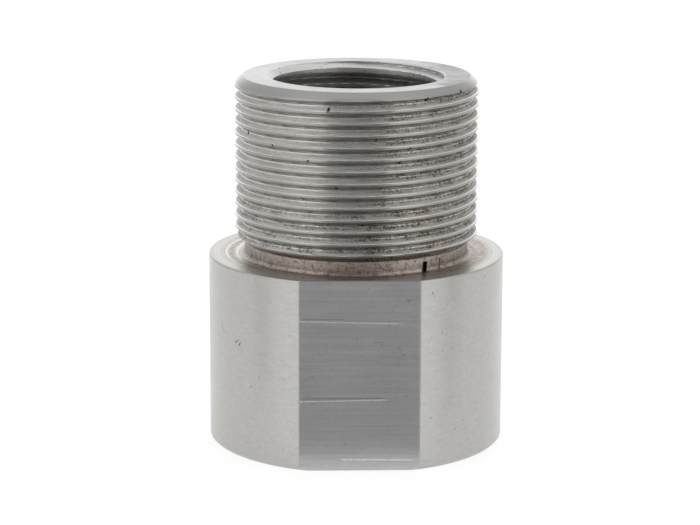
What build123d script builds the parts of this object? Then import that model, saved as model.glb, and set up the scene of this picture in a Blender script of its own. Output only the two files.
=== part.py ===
from build123d import *
import os

# Pipe coupling turned from stainless bar: a body with a female thread below,
# a male spigot above with a second, smaller female thread in its mouth, and
# two wrench flats. A loose sealing ring lies on the seat in the lower socket.
#
# Frame: +Z up along the axis, origin at the centre of the bottom face.
# The wrench flats face -Y and +Y. All lengths are in millimetres.

os.makedirs("parts", exist_ok=True)

# ---- body -------------------------------------------------------------------
BODY_D = 58.0  # turned outside diameter
BODY_H = 37.2  # bottom face to shoulder
TOTAL_H = 72.3  # bottom face to top sealing face
ACROSS_FLATS = 53.3
BODY_EDGE = 0.55  # chamfer at the bottom outer edge
SHOULDER_EDGE = 0.25  # edge break at the shoulder's rim

# ---- male thread: G 1-1/2, 11 threads per inch, 55 degree form --------------
G_PITCH = 2.309
G_MAJOR_R = 47.803 / 2
G_MINOR_R = 44.845 / 2
G_CREST_HALF = 0.19  # half width of the flattened crest
MALE_START_Z = 16 * G_PITCH  # where the crest helix crosses the +X side
MALE_TURNS = 15.65

NECK_R = 22.0  # thread run-out groove above the shoulder
NECK_TOP_Z = 39.7
NECK_FILLET = 0.8
FACE_R = 22.2  # outer radius of the top sealing face
NOSE_CHAMFER = G_MAJOR_R - FACE_R  # 45 degrees, radial and axial

# ---- upper female thread: M36 x 3, 60 degree form ---------------------------
M_PITCH = 3.0
M_MAJOR_R = 36.0 / 2
M_MINOR_R = 32.752 / 2
M_ROOT_HALF = M_PITCH / 16
M_START_Z = 49.855  # where the root helix crosses the +X side
M_TURNS = 8
MOUTH_R = 17.5  # countersink at the top face
M_RELIEF_R = 18.3
M_RELIEF_Z0 = 46.0
M_RELIEF_Z1 = 50.6

# ---- lower female thread: G 1-1/2 -------------------------------------------
SEAT_Z = 24.0  # gasket seat, depth of the socket
SOCKET_RELIEF_R = 24.2
SOCKET_RELIEF_Z0 = 19.8
ENTRY_R = 24.3  # plain recess at the socket's mouth
ENTRY_DEPTH = 1.6

BORE_R = 16.0  # plain flow bore between the two threads

# ---- sealing ring -----------------------------------------------------------
RING_OUTER_R = 23.6
RING_INNER_R = 17.0
RING_T = 2.0
RING_EDGE = 0.2

FAR = 4.0  # overrun of the tools past the faces they cut


# The male thread's core and the neck under it, up past the top face.
with BuildPart() as coupling_body:
    # turned body, shoulder, neck and thread core in one profile
    with BuildSketch(Plane.XZ) as turned:
        with BuildLine():
            Polyline(
                (0, 0),
                (BODY_D / 2 - BODY_EDGE, 0),
                (BODY_D / 2, BODY_EDGE),
                (BODY_D / 2, BODY_H - SHOULDER_EDGE),
                (BODY_D / 2 - SHOULDER_EDGE, BODY_H),
                (G_MINOR_R, BODY_H),
                (G_MINOR_R, TOTAL_H + FAR),
                (0, TOTAL_H + FAR),
                close=True,
            )
        make_face()
    revolve(axis=Axis.Z)

    # two parallel wrench flats over the whole height of the body
    with BuildSketch(Plane.XY) as flat_waste:
        for side in (-1, 1):
            with Locations((0, side * (ACROSS_FLATS / 2 + FAR))):
                Rectangle(BODY_D + FAR, 2 * FAR)
    extrude(amount=BODY_H, mode=Mode.SUBTRACT)

    # right-hand thread ridge, wound round the core
    over = 0.12  # how far the ridge is rooted in the core
    slope = (0.455 * G_PITCH - G_CREST_HALF) / (G_MAJOR_R - G_MINOR_R)
    foot = 0.455 * G_PITCH + slope * over
    with BuildLine() as male_helix:
        Helix(
            pitch=G_PITCH,
            height=MALE_TURNS * G_PITCH,
            radius=G_MINOR_R,
            center=(0, 0, MALE_START_Z),
        )
    with BuildSketch(Plane.XZ) as male_tooth:
        with BuildLine():
            Polyline(
                (G_MAJOR_R - 0.16, MALE_START_Z - G_CREST_HALF - 0.16 * slope),
                (G_MINOR_R - over, MALE_START_Z - foot),
                (G_MINOR_R - over, MALE_START_Z + foot),
                (G_MAJOR_R - 0.16, MALE_START_Z + G_CREST_HALF + 0.16 * slope),
            )
            ThreePointArc(
                (G_MAJOR_R - 0.16, MALE_START_Z + G_CREST_HALF + 0.16 * slope),
                (G_MAJOR_R, MALE_START_Z),
                (G_MAJOR_R - 0.16, MALE_START_Z - G_CREST_HALF - 0.16 * slope),
            )
        make_face()
    sweep(sections=male_tooth.sketch, path=male_helix.line, is_frenet=True)

    # run-out groove: clears the ridge between the shoulder and the thread
    with BuildSketch(Plane.XZ) as neck_waste:
        with BuildLine():
            Polyline(
                (NECK_R + NECK_FILLET, BODY_H),
                (BODY_D / 2 + FAR, BODY_H),
                (BODY_D / 2 + FAR, NECK_TOP_Z + BODY_D / 2 + FAR - NECK_R),
                (NECK_R, NECK_TOP_Z),
                (NECK_R, BODY_H + NECK_FILLET),
            )
            RadiusArc(
                (NECK_R, BODY_H + NECK_FILLET),
                (NECK_R + NECK_FILLET, BODY_H),
                -NECK_FILLET,
            )
        make_face()
    revolve(axis=Axis.Z, mode=Mode.SUBTRACT)

    # top face and the 45 degree nose chamfer
    with BuildSketch(Plane.XZ) as nose_waste:
        with BuildLine():
            Polyline(
                (0, TOTAL_H),
                (FACE_R, TOTAL_H),
                (FACE_R + 3 * NOSE_CHAMFER, TOTAL_H - 3 * NOSE_CHAMFER),
                (FACE_R + 3 * NOSE_CHAMFER, TOTAL_H + 2 * FAR),
                (0, TOTAL_H + 2 * FAR),
                close=True,
            )
        make_face()
    revolve(axis=Axis.Z, mode=Mode.SUBTRACT)

print("male", coupling_body.part.is_valid, len(coupling_body.part.solids()))

# The space inside: flow bore, both threaded holes, their run-out grooves, the
# seat and the mouths, as one solid that is then taken out of the body.
with BuildPart() as bore_form:
    with BuildSketch(Plane.XZ) as bored:
        with BuildLine():
            Polyline(
                (0, -FAR),
                (ENTRY_R, -FAR),
                (ENTRY_R, ENTRY_DEPTH),
                (G_MINOR_R, ENTRY_DEPTH + (ENTRY_R - G_MINOR_R)),
                (G_MINOR_R, SOCKET_RELIEF_Z0 - (SOCKET_RELIEF_R - G_MINOR_R)),
                (SOCKET_RELIEF_R, SOCKET_RELIEF_Z0),
                (SOCKET_RELIEF_R, SEAT_Z),
                (BORE_R, SEAT_Z),
                (BORE_R, M_RELIEF_Z0 - (M_RELIEF_R - BORE_R)),
                (M_RELIEF_R, M_RELIEF_Z0),
                (M_RELIEF_R, M_RELIEF_Z1),
                (M_MINOR_R, M_RELIEF_Z1 + (M_RELIEF_R - M_MINOR_R)),
                (M_MINOR_R, TOTAL_H - (MOUTH_R - M_MINOR_R)),
                (MOUTH_R, TOTAL_H),
                (MOUTH_R, TOTAL_H + FAR),
                (0, TOTAL_H + FAR),
                close=True,
            )
        make_face()
    revolve(axis=Axis.Z)

    # thread groove of the upper hole
    with BuildLine() as upper_helix:
        Helix(
            pitch=M_PITCH,
            height=M_TURNS * M_PITCH,
            radius=M_MINOR_R,
            center=(0, 0, M_START_Z),
        )
    m_foot = M_PITCH * 0.375 + 0.2 * 0.57735
    with BuildSketch(Plane.XZ) as upper_groove:
        with BuildLine():
            Polyline(
                (M_MAJOR_R, M_START_Z - M_ROOT_HALF),
                (M_MINOR_R - 0.2, M_START_Z - m_foot),
                (M_MINOR_R - 0.2, M_START_Z + m_foot),
                (M_MAJOR_R, M_START_Z + M_ROOT_HALF),
                close=True,
            )
        make_face()
    sweep(sections=upper_groove.sketch, path=upper_helix.line, is_frenet=True)

    # thread groove of the lower hole
    lower_z = -2.0
    with BuildLine() as lower_helix:
        Helix(
            pitch=G_PITCH,
            height=10 * G_PITCH,
            radius=G_MINOR_R,
            center=(0, 0, lower_z),
        )
    with BuildSketch(Plane.XZ) as lower_groove:
        with BuildLine():
            Polyline(
                (G_MAJOR_R, lower_z - G_CREST_HALF),
                (G_MINOR_R - over, lower_z - foot),
                (G_MINOR_R - over, lower_z + foot),
                (G_MAJOR_R, lower_z + G_CREST_HALF),
                close=True,
            )
        make_face()
    sweep(sections=lower_groove.sketch, path=lower_helix.line, is_frenet=True)

print("form", bore_form.part.is_valid, len(bore_form.part.solids()))

with coupling_body:
    add(bore_form.part, mode=Mode.SUBTRACT)

coupling_body.part.label = "coupling_body"
export_step(coupling_body.part, "parts/coupling_body.step")

# Flat sealing ring on the seat, held in the run-out groove behind the thread.
with BuildPart() as sealing_ring:
    with BuildSketch(Plane.XZ) as ring_section:
        with Locations(((RING_INNER_R + RING_OUTER_R) / 2, SEAT_Z - RING_T / 2)):
            Rectangle(RING_OUTER_R - RING_INNER_R, RING_T)
        chamfer(ring_section.vertices().group_by(Axis.Z)[0], length=RING_EDGE)
    revolve(axis=Axis.Z)

sealing_ring.part.label = "sealing_ring"
export_step(sealing_ring.part, "parts/sealing_ring.step")

for piece in (coupling_body, sealing_ring):
    box = piece.part.bounding_box()
    print(
        piece.part.label,
        len(piece.part.solids()),
        piece.part.is_valid,
        round(piece.part.volume, 1),
        [round(v, 3) for v in (*box.min, *box.max)],
    )
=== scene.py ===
import bpy, math
import numpy as np
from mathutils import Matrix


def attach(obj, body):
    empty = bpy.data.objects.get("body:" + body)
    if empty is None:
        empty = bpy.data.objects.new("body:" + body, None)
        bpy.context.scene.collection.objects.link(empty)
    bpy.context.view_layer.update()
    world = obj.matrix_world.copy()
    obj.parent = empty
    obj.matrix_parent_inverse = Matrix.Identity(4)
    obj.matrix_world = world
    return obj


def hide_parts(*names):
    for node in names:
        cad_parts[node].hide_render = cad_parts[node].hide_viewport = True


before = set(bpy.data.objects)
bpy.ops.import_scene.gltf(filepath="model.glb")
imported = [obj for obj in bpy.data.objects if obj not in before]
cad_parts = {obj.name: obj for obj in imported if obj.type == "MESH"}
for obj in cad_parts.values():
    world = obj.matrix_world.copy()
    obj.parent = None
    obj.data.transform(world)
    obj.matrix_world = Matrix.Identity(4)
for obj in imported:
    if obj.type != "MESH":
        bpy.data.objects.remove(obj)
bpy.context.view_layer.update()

# ---------------------------------------------------------------------------
# Sizes in millimetres, as in the CAD model
# ---------------------------------------------------------------------------
BODY_R, BODY_H, TOP_Z, FLAT_Y = 29.0, 37.2, 72.3, 26.65
EDGE, RIM = 0.55, 0.25
G_P, G_MAJ, G_MIN = 2.309, 23.9015, 22.4225
NECK_R, NECK_TOP, NECK_FILLET = 22.0, 39.7, 0.8
FACE_R = 22.2
M_P, M_MAJ, M_MIN, M_Z0 = 3.0, 18.0, 16.376, 2.25
MOUTH_R = 17.5
M_REL_R, M_REL_0, M_REL_1 = 18.3, 46.0, 50.6
SEAT_Z, S_REL_R, S_REL_0 = 24.0, 24.2, 19.8
ENTRY_R, ENTRY_D = 24.3, 1.6
BORE_R = 16.0

deg = list(np.arange(0.0, 360.0, 1.0))
# finer columns round the small marks on the neck and the body
for a0, a1, st in ((301.6, 308.4, 0.25), (313.6, 316.4, 0.2), (204.0, 209.0, 0.25), (214.0, 219.5, 0.2)):
    deg += list(np.arange(a0, a1, st))
deg = np.unique(np.round(deg, 3))
deg = deg[np.r_[True, np.diff(deg) > 0.12]]
th = np.radians(deg)
N = len(th)  # columns round the axis
corner = math.asin(FLAT_Y / BODY_R)  # the flats' edges fall exactly on columns
for c in (corner, math.pi - corner, math.pi + corner, 2 * math.pi - corner):
    th[int(np.argmin(np.abs(th - c)))] = c
COS, SIN = np.cos(th), np.sin(th)
flat_r = FLAT_Y / np.maximum(np.abs(SIN), 1e-9)
on_flat = flat_r <= BODY_R + 1e-9


# smooth, repeatable noise round the axis: a few harmonics with fixed phases
def wobble(theta, seed, low=2, high=24, n=9):
    rng = np.random.default_rng(seed)
    k = rng.integers(low, high, n)
    ph = rng.uniform(0, 2 * np.pi, n)
    w = rng.uniform(0.4, 1.0, n)
    s = sum(w[i] * np.sin(k[i] * theta + ph[i]) for i in range(n))
    return s / np.sqrt((w**2).sum() / 2)


rows = []  # each row: (r array, z array, tag)


def row(r, z, tag):
    r = np.broadcast_to(np.asarray(r, float), (N,)).copy()
    z = np.broadcast_to(np.asarray(z, float), (N,)).copy()
    rows.append((r, z, tag))


def smooth(x):
    x = np.clip(x, 0, 1)
    return x * x * (3 - 2 * x)


# ---- outer thread: Whitworth form with rounded crest and root --------------
RC = 0.137329 * G_P
TAN = math.tan(math.radians(27.5))
turn_wear = np.array([wobble(th, 100 + i, 2, 40, 14) for i in range(40)])


def male_r(theta, z):
    crest = G_P * theta / (2 * np.pi)
    u = (z - crest) / G_P
    k = np.round(u)
    d = np.abs(u - k) * G_P
    idx = np.clip(k.astype(int), 0, 39)
    wear = turn_wear[idx, np.arange(N)]
    maj = G_MAJ - 0.03 - 0.018 * np.clip(wear, -1, 2.2)
    rc = RC * 0.8
    dt = rc * math.cos(math.radians(27.5))
    pitch_r = (G_MAJ + G_MIN) / 2
    flank = pitch_r + (G_P / 4 - d) / TAN
    # flat worn crest with small corners
    over = flank - maj
    r = maj - 0.5 * (np.sqrt(over**2 + 0.09**2) - over)
    # rounded root, a little shallower than the standard's, as in the photo
    dd = G_P / 2 - d
    low = G_MIN + 0.33
    bot = low + rc - np.sqrt(np.maximum(rc**2 - np.minimum(dd, dt) ** 2, 0))
    return np.where(dd < dt, np.maximum(bot, r), np.maximum(r, low))


# ---- inner M36 thread ------------------------------------------------------
def inner_r(theta, z):
    root = M_Z0 + M_P * theta / (2 * np.pi)
    u = (z - root) / M_P
    e = np.abs(u - np.round(u)) * M_P
    rz = root + np.round(u) * M_P
    major = M_MAJ - 0.45 * smooth((rz - 71.0) / 0.6)
    r = major - np.maximum(e - M_P / 16, 0) / math.tan(math.radians(30))
    return np.maximum(r, M_MIN)


def lower_r(theta, z):
    u = (z + 2.0) / G_P - theta / (2 * np.pi)
    d = np.abs(u - np.round(u)) * G_P
    pitch_r = (G_MAJ + G_MIN) / 2
    r = pitch_r + (G_P / 4 - d) / TAN
    return np.clip(r, G_MIN, G_MAJ)


# ---- 1 bottom face, outwards ------------------------------------------------
out_b = np.minimum(BODY_R - EDGE, flat_r)
row(ENTRY_R + 0.12, 0.0, "bottom")
for t in (0.33, 0.66, 0.93):
    row(ENTRY_R + 0.12 + (out_b - 0.05 - ENTRY_R - 0.12) * t, 0.0, "bottom")
row(out_b - 0.05, 0.0, "bottom")
row(out_b - 0.01, 0.012, "edge")
# ---- 2 bottom edge and side --------------------------------------------------
for z in (0.08, 0.2, 0.32, 0.44, 0.52):
    row(np.minimum(BODY_R - EDGE + z, flat_r - 0.004), z, "edge")
row(np.minimum(BODY_R - 0.008, flat_r), 0.58, "side")

# milled steps across the front flat: height, half width, depth, x from, x to
STEPS = [
    (29.20, 0.16, 0.012, -12.0, 8.6),
    (14.10, 0.17, 0.036, -12.0, 5.9),
    (2.30, 0.16, 0.012, -3.8, 12.0),
]
zs = [0.8, 1.2, 1.7]
for zc, hw, dep, xa, xb in STEPS:
    zs += [zc + hw * q for q in (-1.6, -1.0, -0.4, 0.0, 0.4, 1.0, 1.6)]
zs += list(np.arange(3.4, 36.0, 0.8))
zs += list(np.arange(22.1, 25.6, 0.17))
zs = sorted(set(round(float(z), 3) for z in zs))
keep = [zs[0]]
for z in zs[1:]:
    if z - keep[-1] > 0.035:
        keep.append(z)
for z in keep:
    r = np.minimum(BODY_R, flat_r)
    x = r * COS
    cut = np.zeros(N)
    for zc, hw, dep, xa, xb in STEPS:
        prof = math.exp(-((z - zc) / (hw * 0.8)) ** 2)
        ends = smooth((x - xa) / 0.6) * smooth((xb - x) / 2.5)
        cut += dep * prof * ends
    # two small dents and a short curved scratch on the left of the turned side
    dent = np.zeros(N)
    for a0, z0, ra, rz, dep in ((215.7, 23.05, 0.22, 0.20, 0.16), (217.6, 22.75, 0.26, 0.24, 0.20), (216.9, 23.35, 0.2, 0.16, 0.12)):
        s_mm = np.radians(np.degrees(th) - a0) * BODY_R
        dent += dep * np.exp(-((s_mm / ra) ** 2) - ((z - z0) / rz) ** 2)
    zc = 25.1 - 0.46 * (np.degrees(th) - 204.6) + 0.30 * np.sin(np.radians((np.degrees(th) - 204.6) * 48))
    s_on = smooth((np.degrees(th) - 204.2) / 0.6) * smooth((208.5 - np.degrees(th)) / 0.8)
    dent += 0.07 * s_on * np.exp(-(((z - zc) / 0.13) ** 2))
    r = r - dent
    front = on_flat & (SIN < 0) & (np.abs(x) < 11.2)
    r = np.where(front, r - cut / np.maximum(np.abs(SIN), 0.5), r)
    row(r, z, "side")
# ---- 3 rim of the shoulder ---------------------------------------------------
row(np.minimum(BODY_R, flat_r), BODY_H - RIM - 0.15, "side")
row(np.minimum(BODY_R, flat_r), BODY_H - RIM, "side")
row(np.minimum(BODY_R - 0.05, flat_r - 0.0), BODY_H - RIM * 0.45, "rim")
row(np.minimum(BODY_R - 0.14, flat_r - 0.04), BODY_H - RIM * 0.12, "rim")
out_s = np.minimum(BODY_R - RIM, flat_r - 0.1)
row(out_s, BODY_H, "shoulder")
# ---- 4 shoulder with shallow turned rings ------------------------------------
for t in (0.3, 0.65, 1.0):
    row(out_s + (26.25 - out_s) * t, BODY_H, "shoulder")
prof_s = [
    (25.95, 0.0), (25.8, -0.02), (25.66, -0.11), (25.5, -0.17), (25.3, -0.18),
    (24.8, -0.17), (24.2, -0.16), (23.8, -0.15), (23.6, -0.15), (23.46, -0.19),
    (23.32, -0.27), (23.16, -0.32), (22.98, -0.32),
]
for r, dz in prof_s:
    row(r, BODY_H + dz, "shoulder")
# ---- 5 neck ------------------------------------------------------------------
deg_of = np.degrees(th)


def neck_cut(z):
    # a narrow nick, leaning a little, and a thin scribed line beside it
    lean = (z - 37.9) * 0.35
    w = smooth((deg_of - (303.4 + lean)) / 0.35) * smooth((306.3 + lean - deg_of) / 0.35)
    h = smooth((z - 36.95) / 0.25) * smooth((38.95 - z) / 0.25)
    line = np.exp(-(((deg_of - 314.95) / 0.25) ** 2)) * smooth((z - 36.7) / 0.2) * smooth((39.2 - z) / 0.2)
    return 0.75 * w * h + 0.28 * line


for a in np.radians([15, 32, 45, 58, 68, 77, 85]):
    zf = BODY_H - 0.32 + NECK_FILLET * (1 - math.sin(math.pi / 2 - a))
    rf = NECK_R + NECK_FILLET - NECK_FILLET * math.sin(a)
    row(rf - 0.9 * neck_cut(max(zf, 37.26)), zf, "neck")
for z in np.arange(37.75, 39.65, 0.12):
    row(NECK_R - neck_cut(z), z, "neck")
# ---- 6 male thread ------------------------------------------------------------
z = NECK_TOP
DZ = 0.082
zt = []
while z < TOP_Z - 0.10:
    zt.append(z)
    z += DZ
for z in zt:
    # the groove fades out in the nose
    r = male_r(th, np.full(N, z)) + 1.3 * smooth((z - 70.75) / 1.0)
    low = NECK_R + max(z - NECK_TOP, 0) * 1.15
    r = np.minimum(r, max(low, NECK_R))
    nose = FACE_R + (TOP_Z - z)
    # slightly crowned chamfer
    nose = nose + 0.16 * math.sin(min(max((TOP_Z - z) / 1.7, 0), 1) * math.pi)
    r = np.minimum(r, nose)
    row(r, z, "nose" if z > 70.9 else "thread")
row(FACE_R + 0.075, TOP_Z - 0.055, "nose")
row(FACE_R + 0.02, TOP_Z - 0.012, "nose")
# ---- 7 top face, inwards ------------------------------------------------------
row(FACE_R - 0.06, TOP_Z, "face")


def mouth(z):
    r = inner_r(th, np.full(N, z))
    return np.maximum(r, MOUTH_R - (TOP_Z - z) * 1.0)


m0 = mouth(TOP_Z - 0.05)
for t in (0.25, 0.5, 0.75, 0.93):
    row(FACE_R - 0.06 + (m0 + 0.08 - FACE_R + 0.06) * t, TOP_Z, "face")
row(m0 + 0.07, TOP_Z, "face")
row(m0 + 0.02, TOP_Z - 0.02, "mouth")
# ---- 8 upper thread, relief, bore ----------------------------------------------
z = TOP_Z - 0.09
while z > M_REL_1 + 1.2:
    row(mouth(z), z, "mouth" if z > 69.0 else "bore")
    z -= 0.085 if z > 64 else 0.14
for z in (M_REL_1 + 1.1, M_REL_1 + 0.7, M_REL_1 + 0.35, M_REL_1):
    row(np.minimum(np.maximum(mouth(z), M_REL_R - (z - M_REL_1)), M_REL_R), z, "bore")
row(M_REL_R, M_REL_1 - 0.15, "bore")
row(M_REL_R, (M_REL_0 + M_REL_1) / 2, "bore")
row(M_REL_R, M_REL_0, "bore")
row(BORE_R + 1.1, M_REL_0 - 1.2, "bore")
row(BORE_R, M_REL_0 - (M_REL_R - BORE_R), "bore")
for z in (40.0, 36.0, 32.0, 28.0, SEAT_Z + 0.5, SEAT_Z + 0.12):
    row(BORE_R, z, "bore")
row(BORE_R + 0.12, SEAT_Z, "socket")
for r in (18.0, 20.5, 22.8, S_REL_R - 0.15):
    row(r, SEAT_Z, "socket")
row(S_REL_R, SEAT_Z - 0.15, "socket")
row(S_REL_R, 22.0, "socket")
row(S_REL_R, S_REL_0 + 0.1, "socket")
row(S_REL_R - 0.1, S_REL_0 - 0.1, "socket")
# ---- 9 lower thread and entry ---------------------------------------------------
z = S_REL_0 - 0.25
while z > ENTRY_D + 0.05:
    r = lower_r(th, np.full(N, z))
    r = np.maximum(r, min(S_REL_R - (S_REL_0 - z), S_REL_R))
    r = np.maximum(r, min(ENTRY_R - (z - ENTRY_D), ENTRY_R))
    row(r, z, "socket")
    z -= 0.13
row(ENTRY_R, ENTRY_D - 0.02, "socket")
row(ENTRY_R, 0.8, "socket")
row(ENTRY_R, 0.12, "socket")
row(ENTRY_R + 0.04, 0.035, "bottom")

# ---------------------------------------------------------------------------
# Mesh
# ---------------------------------------------------------------------------
M = len(rows)
R = np.array([a[0] for a in rows])
Z = np.array([a[1] for a in rows])
tags = [a[2] for a in rows]
co = np.stack([R * COS, R * SIN, Z], -1).reshape(-1, 3) / 1000.0
i = np.arange(N)
j = np.arange(M)
a = (j[:, None] * N + i[None, :])
b = (j[:, None] * N + (i[None, :] + 1) % N)
c = (((j[:, None] + 1) % M) * N + (i[None, :] + 1) % N)
d = (((j[:, None] + 1) % M) * N + i[None, :])
faces = np.stack([a, b, c, d], -1).reshape(-1, 4)

me = bpy.data.meshes.new("coupling_body_detailed")
me.vertices.add(len(co))
me.vertices.foreach_set("co", co.astype(np.float32).ravel())
me.loops.add(len(faces) * 4)
me.loops.foreach_set("vertex_index", faces.astype(np.int32).ravel())
me.polygons.add(len(faces))
me.polygons.foreach_set("loop_start", np.arange(0, len(faces) * 4, 4, dtype=np.int32))
me.polygons.foreach_set("loop_total", np.full(len(faces), 4, dtype=np.int32))

SLOTS = ["turned", "milled", "thread", "neck", "face", "bore"]
TAG2SLOT = {
    "bottom": "face", "edge": "turned", "side": "turned", "rim": "turned", "shoulder": "neck",
    "neck": "neck", "thread": "thread", "nose": "thread", "face": "face", "mouth": "bore",
    "bore": "bore", "socket": "bore",
}
mat_index = np.zeros((M, N), np.int32)
col_flat = on_flat & np.roll(on_flat, -1)  # the column to the next one lies on a flat
for k in range(M):
    t = tags[k] if tags[k] != "edge" else tags[k]
    s = SLOTS.index(TAG2SLOT[t])
    mat_index[k, :] = s
    if t in ("side", "edge", "rim"):
        mat_index[k, col_flat] = SLOTS.index("milled")
me.polygons.foreach_set("material_index", mat_index.ravel())
me.update(calc_edges=True)
me.validate()
me.polygons.foreach_set("use_smooth", np.ones(len(me.polygons), bool))
me.set_sharp_from_angle(angle=math.radians(38))
body = bpy.data.objects.new("coupling_body_detailed", me)
bpy.context.scene.collection.objects.link(body)
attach(body, "root")
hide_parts("coupling_body")


# ---------------------------------------------------------------------------
# Materials
# ---------------------------------------------------------------------------
class Tree:
    """Small helper for node trees."""

    def __init__(self, name):
        self.mat = bpy.data.materials.new(name)
        self.mat.use_nodes = True
        self.nt = self.mat.node_tree
        self.bsdf = self.nt.nodes["Principled BSDF"]

    def new(self, kind, **props):
        n = self.nt.nodes.new(kind)
        for k, v in props.items():
            setattr(n, k, v)
        return n

    def link(self, a, b):
        self.nt.links.new(a, b)

    def val(self, n, name, v):
        if hasattr(v, "is_linked") or isinstance(v, bpy.types.NodeSocket):
            self.link(v, n.inputs[name])
        else:
            n.inputs[name].default_value = v

    def math(self, op, a, b=None, c=None, clamp=False):
        n = self.new("ShaderNodeMath", operation=op, use_clamp=clamp)
        for k, v in enumerate((a, b, c)):
            if v is not None:
                self.val(n, k, v)
        return n.outputs[0]

    def coords(self):
        return self.new("ShaderNodeTexCoord").outputs["Object"]

    def sep(self, v):
        n = self.new("ShaderNodeSeparateXYZ")
        self.link(v, n.inputs[0])
        return n.outputs

    def combine(self, x, y, z):
        n = self.new("ShaderNodeCombineXYZ")
        for k, v in enumerate((x, y, z)):
            self.val(n, k, v)
        return n.outputs[0]

    def noise(self, vec, scale, detail=2.0, rough=0.5, lac=2.0):
        n = self.new("ShaderNodeTexNoise")
        self.link(vec, n.inputs["Vector"])
        n.inputs["Scale"].default_value = scale
        n.inputs["Detail"].default_value = detail
        n.inputs["Roughness"].default_value = rough
        n.inputs["Lacunarity"].default_value = lac
        return n.outputs["Fac"]

    def stretch(self, vec, sx, sy, sz):
        n = self.new("ShaderNodeMapping")
        self.link(vec, n.inputs["Vector"])
        n.inputs["Scale"].default_value = (sx, sy, sz)
        return n.outputs[0]

    def ramp(self, fac, lo, hi, out0=0.0, out1=1.0, kind="SMOOTHSTEP"):
        n = self.new("ShaderNodeMapRange", interpolation_type=kind)
        self.val(n, "Value", fac)
        n.inputs["From Min"].default_value = lo
        n.inputs["From Max"].default_value = hi
        n.inputs["To Min"].default_value = out0
        n.inputs["To Max"].default_value = out1
        return n.outputs["Result"]

    def mix(self, fac, a, b):
        n = self.new("ShaderNodeMix", data_type="RGBA")
        self.val(n, 0, fac)
        for k, v in ((6, a), (7, b)):
            if isinstance(v, tuple):
                n.inputs[k].default_value = (*v, 1.0)
            else:
                self.link(v, n.inputs[k])
        return n.outputs[2]

    def bump(self, height, dist, strength=1.0, normal=None):
        n = self.new("ShaderNodeBump")
        n.inputs["Distance"].default_value = dist
        n.inputs["Strength"].default_value = strength
        self.link(height, n.inputs["Height"])
        if normal is not None:
            self.link(normal, n.inputs["Normal"])
        return n.outputs[0]

    def radius(self, xyz):
        x2 = self.math("MULTIPLY", xyz[0], xyz[0])
        y2 = self.math("MULTIPLY", xyz[1], xyz[1])
        return self.math("SQRT", self.math("ADD", x2, y2))


def steel(name, aniso, metal=1.0, rough=None):
    # grooves run round the axis, so gloss spreads across them
    t = Tree(name)
    t.bsdf.inputs["Metallic"].default_value = metal
    if rough is not None:
        t.bsdf.inputs["Roughness"].default_value = rough
    t.bsdf.inputs["Anisotropic"].default_value = aniso
    t.bsdf.inputs["Anisotropic Rotation"].default_value = 0.25
    tan = t.new("ShaderNodeTangent", direction_type="RADIAL", axis="Z")
    t.link(tan.outputs[0], t.bsdf.inputs["Tangent"])
    return t


def scratches(t, v, rot, scale, thin, seed):
    # sparse hair lines: a stretched noise cut to a narrow band of its values
    n = t.new("ShaderNodeMapping")
    t.link(v, n.inputs["Vector"])
    n.inputs["Location"].default_value = (seed, seed * 0.37, seed * 0.71)
    n.inputs["Rotation"].default_value = rot
    n.inputs["Scale"].default_value = scale
    f = t.noise(n.outputs[0], 1.0, 1.5, 0.5)
    near = t.math("ABSOLUTE", t.math("SUBTRACT", f, 0.5))
    return t.ramp(near, 0.0, thin, 1.0, 0.0)


# turned side of the body
def pit(t, xyz, deg, z, rad, flat=1.0, r0=0.0234):
    """1 inside a small pit at this azimuth and height, 0 outside."""
    a = math.radians(deg)
    dx = t.math("SUBTRACT", xyz[0], r0 * math.cos(a))
    dy = t.math("SUBTRACT", xyz[1], r0 * math.sin(a))
    dz = t.math("MULTIPLY", t.math("SUBTRACT", xyz[2], z / 1000.0), flat)
    dd = t.math("ADD", t.math("MULTIPLY", dx, dx), t.math("MULTIPLY", dy, dy))
    dd = t.math("ADD", dd, t.math("MULTIPLY", dz, dz))
    return t.ramp(t.math("SQRT", dd), rad / 1000.0, rad / 1600.0)


t = steel("steel_turned", 0.70)
v = t.coords()
xyz = t.sep(v)
fine = t.noise(t.stretch(v, 300, 300, 2600), 1.0, 3.0, 0.65)
grain = t.noise(t.stretch(v, 900, 900, 1300), 1.0, 3.0, 0.7)
cloud = t.noise(v, 150.0, 4.0, 0.62)
tone = t.math("ADD", t.math("MULTIPLY", grain, 0.38), t.math("ADD", t.math("MULTIPLY", cloud, 0.30), t.math("MULTIPLY", fine, 0.32)))
col = t.mix(t.ramp(tone, 0.34, 0.66, kind="LINEAR"), (0.418, 0.411, 0.390), (0.505, 0.500, 0.483))
spots = t.ramp(t.noise(v, 1500.0, 1.0, 0.5), 0.735, 0.78)
dirt = t.math("MULTIPLY", spots, 0.6)
for spot in ((-144.5, 22.95, 0.34, 1.3), (-142.3, 22.65, 0.36, 1.2), (-143.2, 23.35, 0.22, 1.0), (-141.7, 23.15, 0.20, 1.0),
             (-155.3, 25.1, 0.17, 0.7), (-154.9, 24.6, 0.16, 0.6), (-154.2, 24.2, 0.15, 0.6), (-153.3, 23.9, 0.14, 0.8),
             (-61.7, 34.5, 0.26, 0.8), (-60.9, 33.9, 0.18, 0.7), (-59.6, 34.9, 0.14, 1.6)):
    dirt = t.math("MAXIMUM", dirt, t.math("MULTIPLY", pit(t, xyz, spot[0], spot[1], spot[2], spot[3], 0.0289), 0.85))
dirt = t.math("MULTIPLY", dirt, t.ramp(t.noise(v, 3000.0, 2.0, 0.6), 0.34, 0.42))
t.link(t.mix(dirt, col, (0.20, 0.19, 0.175)), t.bsdf.inputs["Base Color"])
t.link(t.ramp(cloud, 0.3, 0.7, 0.27, 0.35), t.bsdf.inputs["Roughness"])
h = t.math("ADD", t.math("MULTIPLY", fine, 0.6), t.math("MULTIPLY", grain, 0.4))
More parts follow.
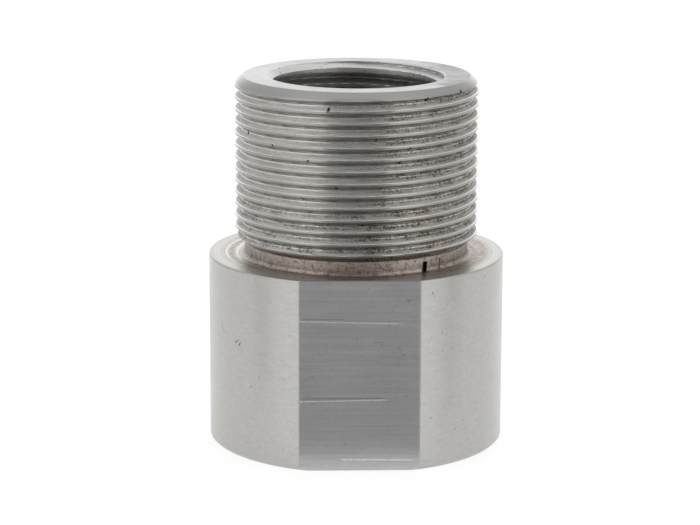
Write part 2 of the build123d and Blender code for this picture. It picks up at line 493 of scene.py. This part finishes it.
t.link(t.bump(h, 0.000022, 0.45), t.bsdf.inputs["Normal"])
m_turned = t.mat

# milled flats: long fine lines along the cutter's travel
t = steel("steel_milled", 0.70)
v = t.coords()
l1 = t.noise(t.stretch(v, 55, 55, 3300), 1.0, 2.0, 0.6)
l2 = t.noise(t.stretch(v, 22, 22, 1250), 1.0, 2.0, 0.55)
grain = t.noise(v, 1900.0, 2.0, 0.7)
cloud = t.noise(t.stretch(v, 110, 110, 150), 1.0, 4.0, 0.6)
tone = t.math("ADD", t.math("MULTIPLY", l1, 0.42), t.math("MULTIPLY", l2, 0.14))
tone = t.math("ADD", tone, t.math("MULTIPLY", grain, 0.26))
tone = t.math("ADD", tone, t.math("MULTIPLY", cloud, 0.18))
col = t.mix(t.ramp(tone, 0.36, 0.64, kind="LINEAR"), (0.440, 0.439, 0.436), (0.560, 0.559, 0.556))
marks = t.math("MULTIPLY", scratches(t, v, (0.0, 0.12, 0.0), (120, 10, 900), 0.012, 7.7), t.ramp(t.noise(v, 170.0, 1.0, 0.5), 0.60, 0.66))
spots = t.ramp(t.noise(v, 1300.0, 1.0, 0.5), 0.74, 0.79)
dirt = t.math("MAXIMUM", t.math("MULTIPLY", marks, 0.45), t.math("MULTIPLY", spots, 0.5))
xyz = t.sep(v)
near_face = t.ramp(xyz[1], -0.0262, -0.0265)
# painted highlights: bright lines along the milled steps on the front flat, where the ledges catch light: height,
# slope, x from, x to
step_highlights = t.math("MULTIPLY", near_face, 0.0)
for zc, slope, xa, xb in ((29.06, -0.025, -14.0, 8.7), (13.86, 0.0175, -14.0, 6.0), (2.13, -0.0065, -3.9, 11.3)):
    dz = t.math("SUBTRACT", xyz[2], t.math("ADD", zc / 1000.0, t.math("MULTIPLY", xyz[0], slope)))
    band = t.ramp(t.math("ABSOLUTE", dz), 0.00017, 0.00008)
    band = t.math("MULTIPLY", band, t.ramp(xyz[0], xa / 1000.0, (xa + 0.7) / 1000.0))
    band = t.math("MULTIPLY", band, t.ramp(xyz[0], xb / 1000.0, (xb - 2.0) / 1000.0))
    step_highlights = t.math("MAXIMUM", step_highlights, band)
step_highlights = t.math("MULTIPLY", t.math("MULTIPLY", step_highlights, near_face), t.ramp(grain, 0.30, 0.50, 0.55, 1.0))
for zc, xa, xb in ((25.3, 2.3, 4.9), (25.35, -0.9, -0.3), (29.75, -11.0, -3.0)):
    band = t.ramp(t.math("ABSOLUTE", t.math("SUBTRACT", xyz[2], zc / 1000.0)), 0.00014, 0.00005)
    band = t.math("MULTIPLY", band, t.ramp(xyz[0], xa / 1000.0, (xa + 0.3) / 1000.0))
    band = t.math("MULTIPLY", band, t.ramp(xyz[0], xb / 1000.0, (xb - 0.3) / 1000.0))
    dirt = t.math("MAXIMUM", dirt, t.math("MULTIPLY", t.math("MULTIPLY", band, near_face), 0.42))
col = t.mix(dirt, col, (0.17, 0.168, 0.16))
# painted highlight: near-white colour along the steps
t.link(t.mix(step_highlights, col, (0.93, 0.93, 0.92)), t.bsdf.inputs["Base Color"])
t.link(t.math("ADD", t.ramp(cloud, 0.3, 0.7, 0.27, 0.34), t.math("MULTIPLY", step_highlights, 0.25)), t.bsdf.inputs["Roughness"])
t.link(t.bump(t.math("ADD", l1, t.math("MULTIPLY", l2, 0.22)), 0.000016, 0.45), t.bsdf.inputs["Normal"])
m_milled = t.mat

# male thread: worn crests with a painted highlight along their upper corners, satin flanks with painted shade on the
# lower flanks, stained and pitted roots
t = steel("steel_thread", 0.78)
v = t.coords()
xyz = t.sep(v)
r = t.radius(xyz)
crest = t.ramp(r, 0.02374, 0.02382)
turn = t.math("SUBTRACT", t.math("MULTIPLY", xyz[2], 1000.0 / G_P), t.math("MULTIPLY", t.math("ARCTAN2", xyz[1], xyz[0]), 0.5 / math.pi))
turn = t.math("FRACT", turn)  # 0 on a crest, 0.5 in a root
# painted shade: the lower flanks, which face down, are darkened all round
under = t.math("MULTIPLY", t.ramp(turn, 0.475, 0.535), t.ramp(turn, 0.915, 0.885))
upper = t.math("MULTIPLY", t.ramp(turn, 0.13, 0.17), t.ramp(turn, 0.46, 0.40))
# painted highlight: a narrow band along the upper corner of each crest
edge = t.math("MULTIPLY", t.ramp(turn, 0.072, 0.088), t.ramp(turn, 0.152, 0.128))
root = t.ramp(r, 0.02305, 0.02280)
deep = t.ramp(r, 0.02372, 0.0230)
clear = t.ramp(xyz[2], 0.0712, 0.0702)  # the nose chamfer is clean
right = t.ramp(xyz[0], -0.003, 0.010)
lower = t.ramp(xyz[2], 0.0545, 0.0455)
zone = t.math("ADD", t.math("MULTIPLY", right, 0.72), t.math("MULTIPLY", lower, 0.45))
zone = t.math("MULTIPLY", t.math("ADD", zone, 0.10, clamp=True), clear)
patch = t.noise(t.stretch(v, 1.0, 1.0, 2.2), 230.0, 3.0, 0.62)
speck = t.noise(t.stretch(v, 1.0, 1.0, 1.2), 2700.0, 2.0, 0.75)
blot = t.noise(t.stretch(v, 1.0, 1.0, 1.7), 900.0, 2.0, 0.65)
grain = t.noise(t.stretch(v, 1.0, 1.0, 2.2), 3000.0, 1.0, 0.5)
lines = t.noise(t.stretch(v, 160, 160, 5200), 1.0, 2.0, 0.6)
c0 = t.mix(t.ramp(grain, 0.3, 0.7), (0.74, 0.732, 0.712), (0.87, 0.862, 0.842))
c0 = t.mix(t.math("MULTIPLY", t.ramp(lines, 0.56, 0.40), 0.30), c0, (0.40, 0.39, 0.37))
c0 = t.mix(t.math("MULTIPLY", right, 0.34), c0, (0.42, 0.39, 0.34))
c0 = t.mix(crest, c0, (0.335, 0.332, 0.308))
# painted shade on the lower flanks
c0 = t.mix(t.math("MULTIPLY", under, 0.66), c0, (0.17, 0.164, 0.145))
# painted highlight: near-white on the upper crest corners
c0 = t.mix(edge, c0, (0.88, 0.875, 0.855))
c0 = t.mix(t.ramp(xyz[2], 0.0704, 0.0710), c0, (0.40, 0.396, 0.388))
stain = t.math("MULTIPLY", t.math("MULTIPLY", deep, zone), t.ramp(patch, 0.44, 0.62))
c1 = t.mix(t.math("MULTIPLY", stain, 0.50), c0, (0.36, 0.32, 0.262))
line = t.math("MULTIPLY", root, t.ramp(t.noise(t.stretch(v, 1.0, 1.0, 1.0), 2300.0, 2.0, 0.6), 0.42, 0.60))
line = t.math("MULTIPLY", line, t.math("ADD", 0.04, t.math("MULTIPLY", zone, 0.80)))
c2 = t.mix(t.math("MULTIPLY", line, clear), c1, (0.20, 0.165, 0.125))
p1 = t.math("MULTIPLY", t.ramp(speck, 0.545, 0.575), t.ramp(patch, 0.44, 0.56))
p2 = t.math("MULTIPLY", t.ramp(blot, 0.645, 0.69), t.ramp(patch, 0.40, 0.54))
pits = t.math("MULTIPLY", t.math("MAXIMUM", p1, p2), t.math("MULTIPLY", t.ramp(r, 0.02360, 0.02315), t.ramp(zone, 0.12, 0.75)))
holes = pits
onto = t.math("DIVIDE", 0.0234, r)  # pits are placed by azimuth, whatever the thread's depth there
ring = (t.math("MULTIPLY", xyz[0], onto), t.math("MULTIPLY", xyz[1], onto), xyz[2])
for spot in ((-57.2, 70.55, 0.42), (-34.5, 70.8, 0.50), (-28.6, 61.4, 0.50), (-66.5, 61.4, 0.40),
             (-71.05, 58.9, 0.34), (-82.6, 63.4, 0.30), (-104.8, 69.06, 0.36), (-157.6, 62.6, 0.55),
             (-101.1, 54.2, 0.36), (-117.8, 51.8, 0.34), (-114.3, 59.2, 0.28), (-133.6, 61.4, 0.26)):
    holes = t.math("MAXIMUM", holes, pit(t, ring, spot[0], spot[1], spot[2], 0.75))
pits = t.math("MULTIPLY", holes, t.ramp(t.noise(v, 3200.0, 2.0, 0.6), 0.36, 0.44))
c3 = t.mix(pits, c2, (0.022, 0.017, 0.013))
t.link(c3, t.bsdf.inputs["Base Color"])
flank = t.math("SUBTRACT", 1.0, t.math("MAXIMUM", crest, t.math("SUBTRACT", 1.0, clear)))
rough = t.math("ADD", 0.25, t.math("MULTIPLY", flank, 0.08))
t.link(t.math("ADD", rough, t.math("MULTIPLY", t.math("MULTIPLY", upper, clear), 0.30)), t.bsdf.inputs["Roughness"])
h = t.math("SUBTRACT", t.math("ADD", lines, t.math("MULTIPLY", grain, 0.6)), t.math("MULTIPLY", pits, 2.0))
t.link(t.bump(h, 0.00003, 0.40), t.bsdf.inputs["Normal"])
m_thread = t.mat

# neck and shoulder: rough turned, tan and brown near the neck
t = steel("steel_neck", 0.45, metal=0.97)
v = t.coords()
xyz = t.sep(v)
r = t.radius(xyz)
near = t.ramp(r, 0.0279, 0.0248)
patch = t.noise(t.stretch(v, 1.0, 1.0, 1.4), 160.0, 4.0, 0.68)
speck = t.noise(v, 2300.0, 2.0, 0.75)
grit = t.noise(v, 1100.0, 3.0, 0.75)
ringv = t.combine(t.math("MULTIPLY", r, 2600.0), 0.0, t.math("MULTIPLY", xyz[2], 2600.0))
rings = t.noise(ringv, 1.0, 2.0, 0.6)
left = t.ramp(xyz[0], -0.019, -0.0235)
brown = t.math("MULTIPLY", near, t.ramp(patch, 0.22, 0.60, 0.35, 1.0))
brown = t.math("MULTIPLY", brown, t.math("SUBTRACT", 1.0, t.math("MULTIPLY", left, 0.55)))
c0 = t.mix(t.ramp(rings, 0.35, 0.65), (0.46, 0.45, 0.42), (0.56, 0.55, 0.53))
c1 = t.mix(brown, c0, (0.425, 0.368, 0.322))
mud = t.math("MULTIPLY", t.ramp(grit, 0.47, 0.63), near)
c2 = t.mix(t.math("MULTIPLY", mud, 0.72), c1, (0.19, 0.145, 0.112))
dark = t.math("MULTIPLY", t.ramp(speck, 0.60, 0.70), near)
c3 = t.mix(dark, c2, (0.05, 0.037, 0.028))
# painted highlights: two bright arc highlights on the shoulder's left where the turned rings catch light, and painted
# shade in a darker arc in the middle
side = t.math("MULTIPLY", t.ramp(xyz[0], -0.0175, -0.0215), t.ramp(xyz[2], 0.03760, 0.03740))
arc_highlights = t.math("MAXIMUM", t.ramp(t.math("ABSOLUTE", t.math("SUBTRACT", r, 0.0256)), 0.00032, 0.00012), t.ramp(t.math("ABSOLUTE", t.math("SUBTRACT", r, 0.0235)), 0.00040, 0.00018))
arc_shade = t.ramp(t.math("ABSOLUTE", t.math("SUBTRACT", r, 0.02462)), 0.00050, 0.00028)
c3 = t.mix(t.math("MULTIPLY", t.math("MULTIPLY", arc_shade, side), 0.45), c3, (0.20, 0.165, 0.125))
c3 = t.mix(t.math("MULTIPLY", t.math("MULTIPLY", arc_highlights, side), 0.80), c3, (0.78, 0.77, 0.75))
# painted shade: near-black inside the nick and the scribed line on the neck
nick_shade = t.math("MULTIPLY", t.ramp(r, 0.02192, 0.02180), 0.93)
c3 = t.mix(nick_shade, c3, (0.012, 0.009, 0.008))
t.link(c3, t.bsdf.inputs["Base Color"])
t.link(t.ramp(brown, 0.0, 1.0, 0.30, 0.38), t.bsdf.inputs["Roughness"])
h = t.math("ADD", t.math("MULTIPLY", rings, 0.8), t.math("MULTIPLY", grit, -1.2))
t.link(t.bump(h, 0.00009, 0.65), t.bsdf.inputs["Normal"])
m_neck = t.mat

# faced ends: fine concentric lines, with painted shade on the sector towards +X
t = steel("steel_face", 0.60)
v = t.coords()
xyz = t.sep(v)
r = t.radius(xyz)
rings = t.noise(t.combine(t.math("MULTIPLY", r, 4200.0), 0.0, 0.0), 1.0, 2.0, 0.6)
cloud = t.noise(v, 220.0, 4.0, 0.62)
side = t.math("ADD", xyz[0], t.math("MULTIPLY", t.math("SUBTRACT", cloud, 0.5), 0.008))
# painted shade: the faces are darker beyond x of about 12.5 to 17.5 mm, with a noisy edge
sector_shade = t.ramp(side, 0.0125, 0.0175)
c0 = t.mix(t.ramp(rings, 0.35, 0.65), (0.445, 0.442, 0.452), (0.500, 0.497, 0.507))
c1 = t.mix(sector_shade, c0, (0.170, 0.164, 0.172))
c2 = t.mix(t.math("MULTIPLY", t.ramp(t.noise(v, 1700.0, 2.0, 0.6), 0.64, 0.74), 0.6), c1, (0.12, 0.11, 0.11))
t.link(c2, t.bsdf.inputs["Base Color"])
t.link(t.ramp(cloud, 0.3, 0.7, 0.24, 0.32), t.bsdf.inputs["Roughness"])
t.link(t.bump(rings, 0.000016, 0.4), t.bsdf.inputs["Normal"])
m_face = t.mat

# bore and inner threads: satin with oily dark patches; painted shade over the bore below the mouth and painted light in
# a band at the mouth
t = steel("steel_bore", 0.35, metal=0.94)
v = t.coords()
xyz = t.sep(v)
speck = t.noise(v, 1300.0, 3.0, 0.72)
patch = t.noise(v, 180.0, 4.0, 0.65)
# painted light at the mouth: the top 2.5 mm or so of the bore is much lighter, with painted shade below
mouth_light = t.ramp(xyz[2], 0.0690, 0.0708)
c0 = t.mix(t.ramp(patch, 0.32, 0.66), (0.42, 0.415, 0.40), (0.28, 0.265, 0.24))
c1 = t.mix(mouth_light, c0, (0.76, 0.755, 0.75))
spots = t.math("MULTIPLY", t.ramp(speck, 0.58, 0.68), t.ramp(patch, 0.36, 0.6))
c2 = t.mix(t.math("MULTIPLY", spots, 0.8), c1, (0.10, 0.085, 0.07))
t.link(c2, t.bsdf.inputs["Base Color"])
t.link(t.ramp(patch, 0.3, 0.7, 0.36, 0.46), t.bsdf.inputs["Roughness"])
t.link(t.bump(speck, 0.00004, 0.4), t.bsdf.inputs["Normal"])
m_bore = t.mat

for m in (m_turned, m_milled, m_thread, m_neck, m_face, m_bore):
    body.data.materials.append(m)

# sealing ring: matt black rubber
t = Tree("ring_rubber")
v = t.coords()
n1 = t.noise(v, 900.0, 3.0, 0.6)
n2 = t.noise(v, 120.0, 2.0, 0.5)
t.link(t.mix(n2, (0.022, 0.022, 0.022), (0.040, 0.039, 0.038)), t.bsdf.inputs["Base Color"])
t.bsdf.inputs["Roughness"].default_value = 0.62
t.link(t.bump(n1, 0.00003, 0.5), t.bsdf.inputs["Normal"])
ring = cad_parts["sealing_ring"]
ring.data.materials.clear()
ring.data.materials.append(t.mat)

# ---------------------------------------------------------------------------
# Floor, light and camera
# ---------------------------------------------------------------------------
fme = bpy.data.meshes.new("floor")
# a white board that ends a little in front of the part, like a table top
FX, FY0, FY1 = 1.2, -0.033, 1.5
fme.from_pydata([(-FX, FY0, -0.00002), (FX, FY0, -0.00002), (FX, FY1, -0.00002), (-FX, FY1, -0.00002)], [], [(0, 1, 2, 3)])
floor = bpy.data.objects.new("floor", fme)
bpy.context.scene.collection.objects.link(floor)
t = Tree("floor_white")
t.bsdf.inputs["Base Color"].default_value = (0.32, 0.32, 0.32, 1)
t.bsdf.inputs["Roughness"].default_value = 0.9
t.bsdf.inputs["Specular IOR Level"].default_value = 0.1
t.bsdf.inputs["Emission Color"].default_value = (1, 1, 1, 1)
# painted shadow: the floor's glow fades to nothing under the part, from 27.5 mm radius in to 21.5 mm
rf = t.radius(t.sep(t.coords()))
t.link(t.ramp(rf, 0.0215, 0.0275, 0.0, 0.80), t.bsdf.inputs["Emission Strength"])
fme.materials.append(t.mat)

world = bpy.data.worlds.new("studio")
bpy.context.scene.world = world
world.use_nodes = True
wt = world.node_tree
wt.nodes.clear()


def wn(kind, **p):
    n = wt.nodes.new(kind)
    for k, v in p.items():
        setattr(n, k, v)
    return n


def wmath(op, a, b=None, c=None, clamp=False):
    n = wn("ShaderNodeMath", operation=op, use_clamp=clamp)
    for k, v in enumerate((a, b, c)):
        if v is None:
            continue
        if isinstance(v, (int, float)):
            n.inputs[k].default_value = v
        else:
            wt.links.new(v, n.inputs[k])
    return n.outputs[0]


tc = wn("ShaderNodeTexCoord")
sx = wn("ShaderNodeSeparateXYZ")
wt.links.new(tc.outputs["Generated"], sx.inputs[0])
X, Y, ZZ = sx.outputs
# azimuth from the front (-Y), positive towards +X
az = wmath("ARCTAN2", X, wmath("MULTIPLY", Y, -1.0))
CAM_AZ = math.radians(-1.8)


def step(v, lo, hi):
    n = wn("ShaderNodeMapRange", interpolation_type="SMOOTHSTEP")
    wt.links.new(v, n.inputs["Value"])
    n.inputs["From Min"].default_value = lo
    n.inputs["From Max"].default_value = hi
    return n.outputs["Result"]


off = wmath("ABSOLUTE", wmath("SUBTRACT", az, CAM_AZ))
opening = wmath("SUBTRACT", 1.0, step(off, math.radians(30.5), math.radians(34)))
low = wmath("SUBTRACT", 1.0, step(ZZ, math.sin(math.radians(50)), math.sin(math.radians(62))))
opening = wmath("MULTIPLY", opening, low)
# brightest a little under the horizon, dark further down and above
bell = wmath("DIVIDE", wmath("ADD", ZZ, 0.14), 0.26)
bell = wmath("EXPONENT", wmath("MULTIPLY", wmath("MULTIPLY", bell, bell), -1.0))
inside = wmath("ADD", 0.15, wmath("MULTIPLY", bell, 0.76))
# the walls beside the opening are bright, a little dimmer square to the view, brightest behind
beside = wmath("SUBTRACT", 1.0, step(off, math.radians(56), math.radians(92)))
behind = step(off, math.radians(142), math.radians(172))
over = step(ZZ, math.sin(math.radians(35)), math.sin(math.radians(75)))
wall = wmath("ADD", 0.88, wmath("MULTIPLY", beside, 0.55))
wall = wmath("ADD", wall, wmath("MULTIPLY", behind, 0.62))
top = wmath("ADD", wmath("MULTIPLY", wall, wmath("SUBTRACT", 1.0, over)), wmath("MULTIPLY", over, 1.02))
level = wmath("ADD", wmath("MULTIPLY", top, wmath("SUBTRACT", 1.0, opening)), wmath("MULTIPLY", opening, inside))
bg = wn("ShaderNodeBackground")
wt.links.new(level, bg.inputs["Strength"])
white = wn("ShaderNodeBackground")
white.inputs["Color"].default_value = (1, 1, 1, 1)
white.inputs["Strength"].default_value = 1.05
lp = wn("ShaderNodeLightPath")
mx = wn("ShaderNodeMixShader")
wt.links.new(lp.outputs["Is Camera Ray"], mx.inputs[0])
wt.links.new(bg.outputs[0], mx.inputs[1])
wt.links.new(white.outputs[0], mx.inputs[2])
out = wn("ShaderNodeOutputWorld")
wt.links.new(mx.outputs[0], out.inputs[0])

cam = bpy.data.cameras.new("camera")
cam_o = bpy.data.objects.new("camera", cam)
bpy.context.scene.collection.objects.link(cam_o)
UNIT = 0.029045
cam.sensor_width = 36.0
cam.lens = 2679.6 / 700.0 * 36.0
cam.clip_start, cam.clip_end = 0.02, 40.0
pitch, yaw, roll = 0.2238, -0.00231, 0.0031
A = math.radians(1.8)
ca, sa = math.cos(A), math.sin(A)


def turn(v):  # from the camera's own heading into the part's frame
    return np.array([v[0] * ca + v[1] * sa, -v[0] * sa + v[1] * ca, v[2]])


fw = np.array([math.sin(yaw) * math.cos(pitch), math.cos(yaw) * math.cos(pitch), -math.sin(pitch)])
rt = np.array([math.cos(yaw), -math.sin(yaw), 0.0])
up = np.cross(rt, fw)
rt, up = math.cos(roll) * rt + math.sin(roll) * up, -math.sin(roll) * rt + math.cos(roll) * up
fw, rt, up = turn(fw), turn(rt), turn(up)
pos = turn(np.array([0.0, -17.8067, 5.24747])) * UNIT
from mathutils import Matrix

mw = Matrix(((rt[0], up[0], -fw[0], pos[0]), (rt[1], up[1], -fw[1], pos[1]), (rt[2], up[2], -fw[2], pos[2]), (0, 0, 0, 1)))
cam_o.matrix_world = mw
bpy.context.scene.camera = cam_o
vs = bpy.context.scene.view_settings
vs.view_transform = "Standard"
vs.look = "None"
vs.exposure = 0.0
vs.gamma = 1.0
